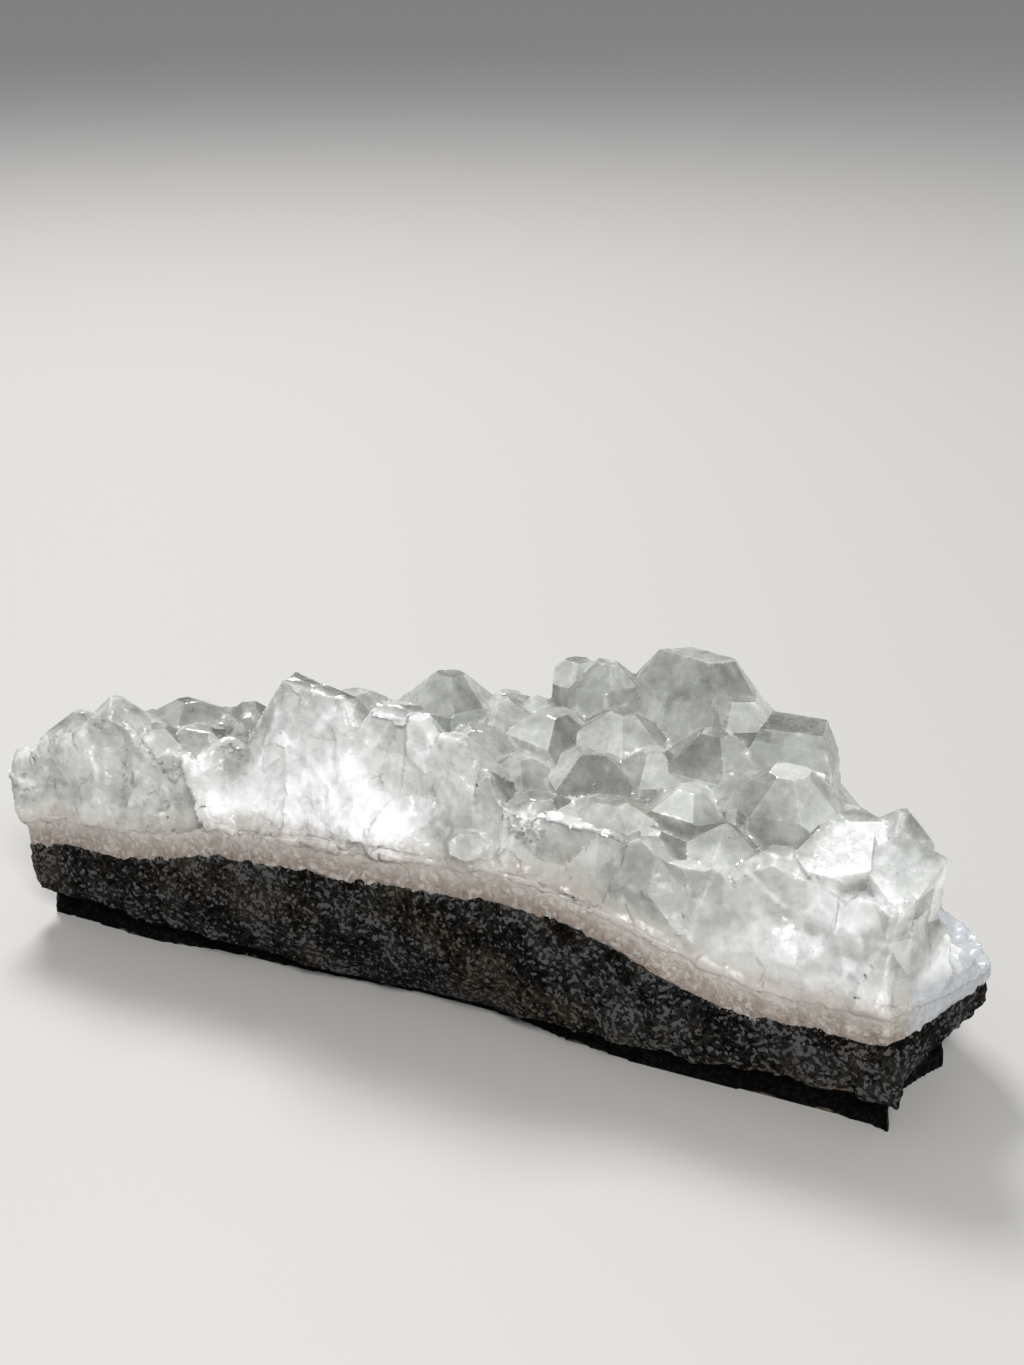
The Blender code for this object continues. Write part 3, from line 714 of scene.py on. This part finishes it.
def sugary_band():
    paint = Paint("sugary band")
    up = paint.stored("off_rock")
    grains = paint.cell_numbers(BAND_CELLS)
    shift = MOTTLE_SHIFT * (paint.noise(*BAND_MOTTLE) - 0.5) + GRAIN_SHIFT * (paint.noise(*BAND_GRAIN) - 0.5)
    dirt = paint.blotches(*DIRT_BLOTCHES) * (1 - paint.rise(up, *CLEAN))
    colour = paint.blend(paint.rise(up + shift, *WHITENS), BAND_AT_ROCK, BAND_AT_TOP)
    colour = paint.tint(colour, paint.rise(grains, *BRIGHT_CELLS), *BRIGHT_SUGAR)
    colour = at_rock(paint, paint.tint(colour, dirt, *BAND_DIRT))
    height = paint.noise(*BAND_BUMPS) + 0.5 * grains
    sockets = {
        "Base Color": colour,
        "Roughness": 0.5 - 0.25 * grains,
        "IOR": BAND_IOR,
        "Subsurface Weight": BAND_GLOW,
        "Subsurface Radius": BAND_GLOW_COLOUR,
        "Subsurface Scale": BAND_GLOW_REACH * MM,
        "Normal": paint.bump(height, BAND_BUMP),
    }
    return paint.finish(paint.surface(sockets))


below_crystals = under_seam(band_top, BAND_OVERLAP)
below_band = under_seam(rock_top, -BAND_OVERLAP)
band = stretch_of_skin("band", [("INTERSECT", below_crystals), ("DIFFERENCE", below_band)])
tuck_in(band, rock_top, band_top)
keep(band, "off_rock", off_rock)
dress(band, sugary_band(), "druse_band")

# The crystals: clear to milky, blocky, grown together from their roots up. Their own faces are flat and
# glassy. Along the front and the right-hand end they were broken through, which left frosty white panes and
# splinters.
CRYSTAL_POINTS_KEPT = 0.62
# Where the crystals are whiter than elsewhere, or clearer and greyer: middle, half size and by how much
WHITENESS = {
    "shattered stretch of the break": ((-24, -29, 30), (27, 10, 13), 0.95),
    "tall block and the broken mass to its right": ((-13, -27, 43), (24, 10, 14), 0.35),
    "foot of the near right-hand corner": ((58, -31, 24), (20, 9, 9), 0.3),
    "blocks split along their cleavage": ((66, -22, 38), (13, 12, 12), 0.45),
    "bare ledge at the corner": ((77, -12, 22), (9, 16, 9), 0.5),
    "clear root": ((33, -30, 29), (13, 9, 8), -0.4),
    "low grey crystals": ((-51, -14, 39), (12, 8, 6), -0.5),
    "clear pyramid": ((44, -20, 40), (8, 7, 6), -0.3),
}
WHITENESS_EDGE = 2.0
WHITENESS_WANDERS = 4.0
WHITENESS_WAVE = 7.0
# Numbers kept on the mesh: how faces are told apart, rims of the panes and hollows between the crystals
FACET_SPREAD = 7.0
PANE_RIM = 0.07
HOLLOW_SPREAD = 2
HOLLOW_GAIN = 4.0
# The crystals' textures, given as the rock's are
CLOUDS = (11.0, 3.0)
VEILS = (2.6, 5.0, 0.65)
ROOT_EDGE = (3.0, 4.0, 0.6)
CRACK_BLOTCHES = (3.0, 2.0, 0.5, 0.45, 0.65)
SPECK_BLOTCHES = (0.8, 2.0, 0.5, 0.72, 0.78)
STAIN_BLOTCHES = (7.0, 4.0, 0.6, 0.60, 0.74)
# The bump's parts in millimetres: size and height of the swell, size and slope of the facets
SWELL = (3.5, 2.0)
SWELL_HEIGHT = 0.04
GROWTH_STEPS = (2.6, 0.035)
BROKEN_STEPS = (4.5, 0.22)
BROKEN_CHIPS = (1.8, 0.2)
FROSTING = (0.7, 0.35)
CRYSTAL_BUMP = 1.0
# How hollow a place is where it counts as a seam, and the heights over the rock between which the roots end
SEAM_RISES = (0.1, 0.8)
ROOTS_END = (4.0, 9.0)
ROOTS_SHIFT = 5.0
# Colours, given as the rock's are
WHITENESS_RISES = (-0.3, 1.1)
GREY_CRYSTAL = (0.52, 0.53, 0.495)
WHITE_CRYSTAL = (0.97, 0.975, 0.975)
ROOT_COLOUR = (0.48, 0.44, 0.395)
SPECKS = ((0.12, 0.10, 0.08), 0.5)
STAINS = ((0.42, 0.35, 0.24), 0.3)
CLEAR_CRYSTAL = (0.95, 0.97, 0.96, 1.0)
CRYSTAL_IOR = 1.54
# Milky crystal scatters light over this length, and clear crystal takes up this colour's complement
MILK_REACH = 1.0
ABSORPTION_COLOUR = (0.89, 0.91, 0.87, 1.0)
ABSORPTION_DENSITY = 40.0

crystal_faces = faces_of("crystal_cluster")


def whiter(place):
    """How much whiter the crystals are at a place than on the whole, from -1 to 1."""
    strayed = place + WHITENESS_WANDERS * noise.noise_vector(place / WHITENESS_WAVE)
    total = 0.0
    for middle, half, amount in WHITENESS.values():
        away = Vector([(strayed[axis] - middle[axis]) / half[axis] for axis in range(3)]).length
        total += amount * eased(WHITENESS_EDGE * (1 - away))
    return min(max(total, -1.0), 1.0)


def facet_shade(place):
    """A number from 0 to 1 that is the same over one face of a crystal."""
    spot, normal, _, _ = crystal_faces.find_nearest(place * MM)
    return noise.cell(FACET_SPREAD * normal + Vector((spot.dot(normal) / MM, 0.5, 0.5)))


def panes_near(place):
    """Distances to the middles of the nearest panes of the break, and those middles, in the panes' noise."""
    size, _, offset = PANES
    return noise.voronoi(in_noise(among_panes(place), size, offset))


def pane_shade(place):
    """A number from 0 to 1 that is the same over a pane of the break."""
    _, centres = panes_near(place)
    return 0.5 + 0.5 * own_tilt(centres[0]).y


def pane_rim(place):
    """1 on the edges of the panes, falling to 0 beside them."""
    away, _ = panes_near(place)
    return max(0.0, 1 - (away[1] - away[0]) / PANE_RIM)


def keep_facets(piece):
    """Keeps on each face of a piece the shade of the crystal's face that it lies on."""
    keep_numbers(piece, "facet", "FACE", [facet_shade(face.center / MM) for face in piece.data.polygons])


def keep_hollows(piece):
    """Keeps on each point how hollow the surface is: 1 in the seams between crystals, -1 on their edges."""
    bm = bmesh.new()
    bm.from_mesh(piece.data)
    bm.normal_update()
    bend = []
    for vert in bm.verts:
        ways = [(edge.other_vert(vert).co - vert.co).normalized() for edge in vert.link_edges]
        bend.append(sum(way.dot(vert.normal) for way in ways) / len(ways))
    for _ in range(HOLLOW_SPREAD):
        bend = [
            (bend[vert.index] + sum(bend[edge.other_vert(vert).index] for edge in vert.link_edges))
            / (1 + len(vert.link_edges))
            for vert in bm.verts
        ]
    bm.free()
    keep_numbers(piece, "hollow", "POINT", [min(max(HOLLOW_GAIN * value, -1.0), 1.0) for value in bend])


def crystal():
    paint = Paint("clear and milky crystal")
    broken = paint.stored("broken")
    rough = paint.stored("hackly")
    white = paint.stored("white")
    frosted = paint.rise(white, 0.0, 1.0)
    seam = paint.rise(paint.stored("hollow"), *SEAM_RISES)
    facet = (paint.stored("facet") - 0.5) * (1 - 0.7 * broken)
    pane = paint.stored("pane") - 0.5
    cracked = paint.stored("pane_rim") * paint.blotches(*CRACK_BLOTCHES)
    veil = paint.noise(*VEILS)
    shift = ROOTS_SHIFT * (paint.noise(*ROOT_EDGE) - 0.5)
    rooted = 1 - paint.rise(paint.stored("off_rock") + shift, *ROOTS_END)

    # How milky and how white it is: each is a weighted sum of what adds to it
    milk = 0.62 + 0.6 * (paint.noise(*CLOUDS) - 0.5) + 0.5 * (veil - 0.5) + 0.2 * seam + 0.2 * facet
    milk = milk + broken * (0.15 + 0.25 * pane + 0.3 * cracked) + 0.9 * rooted + 0.4 * white
    whiteness = 0.85 * white + broken * (0.1 + 0.3 * pane + 0.4 * cracked) + 0.2 * seam
    whiteness = whiteness + 0.6 * (veil - 0.5) + 0.15 * facet

    colour = paint.blend(paint.rise(whiteness, *WHITENESS_RISES), GREY_CRYSTAL, WHITE_CRYSTAL)
    colour = paint.blend(rooted, colour, at_rock(paint, ROOT_COLOUR))
    colour = paint.tint(colour, paint.blotches(*SPECK_BLOTCHES) * (1 - frosted), *SPECKS)
    colour = paint.tint(colour, paint.blotches(*STAIN_BLOTCHES) * (1 - frosted), *STAINS)

    height = SWELL_HEIGHT * paint.noise(*SWELL) + (1 - broken) * paint.facets(*GROWTH_STEPS)
    height = height + rough * (paint.facets(*BROKEN_STEPS) + paint.facets(*BROKEN_CHIPS))
    height = height + (0.25 * rough + 0.5 * frosted + 0.6 * seam) * paint.facets(*FROSTING)
    normal = paint.bump(height, CRYSTAL_BUMP)
    clear = {
        "Base Color": CLEAR_CRYSTAL,
        "Roughness": 0.05 + 0.2 * broken + 0.12 * veil,
        "IOR": CRYSTAL_IOR,
        "Transmission Weight": 1.0,
        "Normal": normal,
    }
    milky = {
        "Base Color": colour,
        "Roughness": 0.12 + 0.25 * veil + 0.1 * broken,
        "IOR": CRYSTAL_IOR,
        "Subsurface Weight": 1.0,
        "Subsurface Radius": (1.0, 1.0, 1.0),
        "Subsurface Scale": MILK_REACH * MM,
        "Normal": normal,
    }
    kinds = {0: paint.rise(milk, 0.0, 1.0), 1: paint.surface(clear), 2: paint.surface(milky)}
    absorbed = {"Color": ABSORPTION_COLOUR, "Density": ABSORPTION_DENSITY}
    return paint.finish(paint.node("MixShader", {}, kinds), paint.node("VolumeAbsorption", {}, absorbed))


crystals = stretch_of_skin("crystals", [("DIFFERENCE", under_seam(band_top))], CRYSTAL_POINTS_KEPT)
keep(crystals, "off_rock", off_rock)
keep(crystals, "broken", broken_share)
keep(crystals, "hackly", hackly_share)
keep(crystals, "pane", pane_shade)
keep(crystals, "pane_rim", pane_rim)
keep(crystals, "white", whiter)
keep_facets(crystals)
keep_hollows(crystals)
dress(crystals, crystal(), "crystal_cluster")
bpy.data.objects.remove(skin)

# The table it lies on: a plain pale matt top, not part of the specimen. Its radius is in metres.
FLOOR_RADIUS = 6.0
FLOOR_SIDES = 96
FLOOR_COLOUR = (0.47, 0.455, 0.435, 1.0)
FLOOR_ROUGHNESS = 0.6
disc = bmesh.new()
bmesh.ops.create_circle(disc, cap_ends=True, segments=FLOOR_SIDES, radius=FLOOR_RADIUS)
floor = new_piece("floor", disc)
matt = Paint("pale floor")
floor.data.materials.append(
    matt.finish(matt.surface({"Base Color": FLOOR_COLOUR, "Roughness": FLOOR_ROUGHNESS}))
)

# Light: one large soft box overhead, a little behind and to the left, a weaker one in front, and a dim room
# round them. Each lamp has its place, size and power, in metres and watts, and is aimed at the specimen.
LAMPS = {
    "key": ((-0.45, 0.45, 0.85), 0.3, 9.0),
    "fill": ((0.45, -0.65, 0.7), 0.3, 8.5),
}
AIM = Vector((0.0, 0.0, 0.03))
ROOM_COLOUR = (0.92, 0.95, 1.0, 1.0)
ROOM_STRENGTH = 0.42
for name, (place, size, power) in LAMPS.items():
    lamp = bpy.data.lights.new(name, "AREA")
    lamp.size = size
    lamp.energy = power
    light = bpy.data.objects.new(name, lamp)
    light.location = place
    light.rotation_euler = (Vector(place) - AIM).to_track_quat("Z", "Y").to_euler()
    bpy.context.scene.collection.objects.link(light)
room = bpy.data.worlds.new("room")
room.use_nodes = True
room.node_tree.nodes["Background"].inputs["Color"].default_value = ROOM_COLOUR
room.node_tree.nodes["Background"].inputs["Strength"].default_value = ROOM_STRENGTH
bpy.context.scene.world = room
bpy.context.scene.view_settings.view_transform = "Standard"

# The camera looks down at the broken front from its right, as the photograph does. Its place is in metres.
EYE = Vector((0.13519, -0.27741, 0.17254))
FORWARD = Vector((-0.4094, 0.8319, -0.3746))
FOCAL_LENGTH = 54.38
FILM_HEIGHT = 36.0
NEAR_CLIP = 0.01
lens = bpy.data.cameras.new("camera")
lens.sensor_fit = "VERTICAL"
lens.sensor_height = FILM_HEIGHT
lens.lens = FOCAL_LENGTH
lens.clip_start = NEAR_CLIP
camera = bpy.data.objects.new("camera", lens)
camera.location = EYE
camera.rotation_euler = (-FORWARD).to_track_quat("Z", "Y").to_euler()
bpy.context.scene.collection.objects.link(camera)
bpy.context.scene.camera = camera
